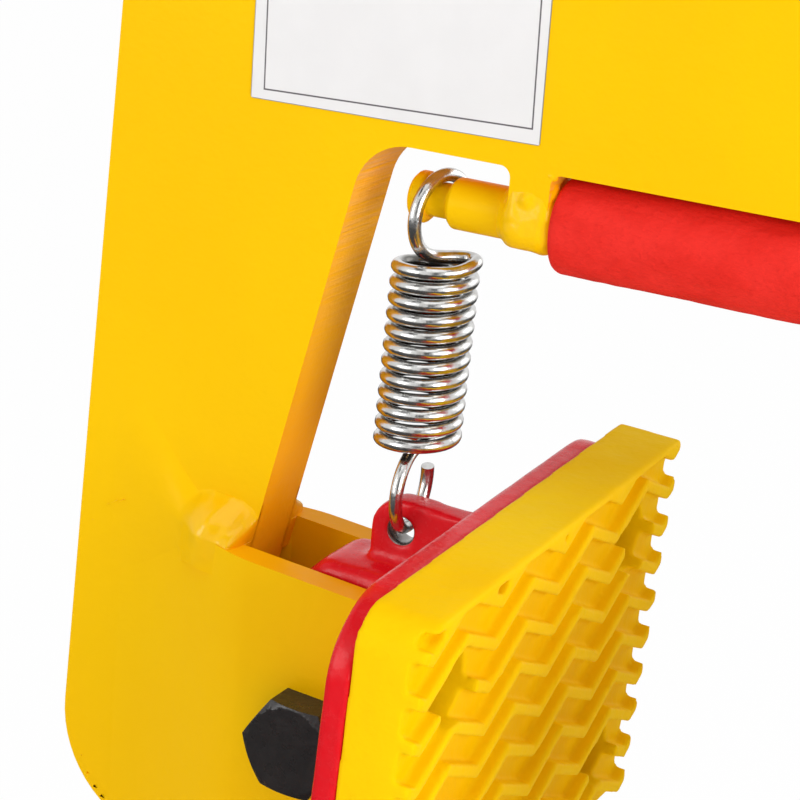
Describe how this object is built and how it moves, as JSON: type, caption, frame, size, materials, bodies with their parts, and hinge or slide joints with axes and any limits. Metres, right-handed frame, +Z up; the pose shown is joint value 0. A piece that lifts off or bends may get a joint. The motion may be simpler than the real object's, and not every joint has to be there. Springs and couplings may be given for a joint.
{
  "type": "stone lifting clamp",
  "caption": "Inverted-U lifting clamp with a crown eye and two sprung, bolted jaws whose ribbed pads grip a stone slab.",
  "frame": {"origin": "centre of the lifting eye in the crown of the main plate, mid thickness", "axes": "+X across the throat from the left jaw to the right jaw, +Y through the plate from front to rear along both pivot bolts, +Z up"},
  "size_m": [0.4656, 0.189, 0.4589],
  "materials": {
    "yellow_paint": "gloss powder coat",
    "red_paint": "gloss paint on a casting",
    "yellow_rubber": "matt polyurethane",
    "red_foam": "matt closed-cell foam",
    "zinc_spring_steel": "zinc plated",
    "black_steel": "blackened",
    "zinc_steel": "zinc plated",
    "bronze": "turned"
  },
  "bodies": {
    "frame": {"main_plate": "yellow_paint", "eye_ring_rear": "yellow_paint", "eye_ring_front": "yellow_paint", "crossbar": "yellow_paint", "foam_sleeve": "red_foam", "left_cheek_rear": "yellow_paint", "left_cheek_front": "yellow_paint", "left_pivot_bolt": "black_steel", "left_pivot_nut": "black_steel", "left_pivot_washer": "black_steel", "left_spring": "zinc_spring_steel", "right_cheek_rear": "yellow_paint", "right_cheek_front": "yellow_paint", "right_pivot_bolt": "black_steel", "right_pivot_nut": "black_steel", "right_pivot_washer": "black_steel", "right_spring": "zinc_spring_steel"},
    "left_swing": {"left_jaw": "red_paint", "left_bush": "bronze", "left_thrust_washers": "bronze", "left_pad": "yellow_rubber", "left_pad_screws": "zinc_steel", "left_pad_washers": "zinc_steel", "left_pad_nuts": "zinc_steel"},
    "right_swing": {"right_jaw": "red_paint", "right_bush": "bronze", "right_thrust_washers": "bronze", "right_pad": "yellow_rubber", "right_pad_screws": "zinc_steel", "right_pad_washers": "zinc_steel", "right_pad_nuts": "zinc_steel"}
  },
  "joints": [
    {"name": "left_jaw_pivot", "type": "hinge", "parent": "frame", "child": "left_swing", "pos_m": [-0.131, 0, -0.35], "axis": [0, 1, 0], "range_deg": [0, 15], "stiffness_Nm_per_rad": 23, "springref_deg": -9.45, "deforming": ["left_spring"]},
    {"name": "right_jaw_pivot", "type": "hinge", "parent": "frame", "child": "right_swing", "pos_m": [0.131, 0, -0.35], "axis": [0, -1, 0], "range_deg": [0, 15], "stiffness_Nm_per_rad": 23, "springref_deg": -9.45, "deforming": ["right_spring"]}
  ]
}
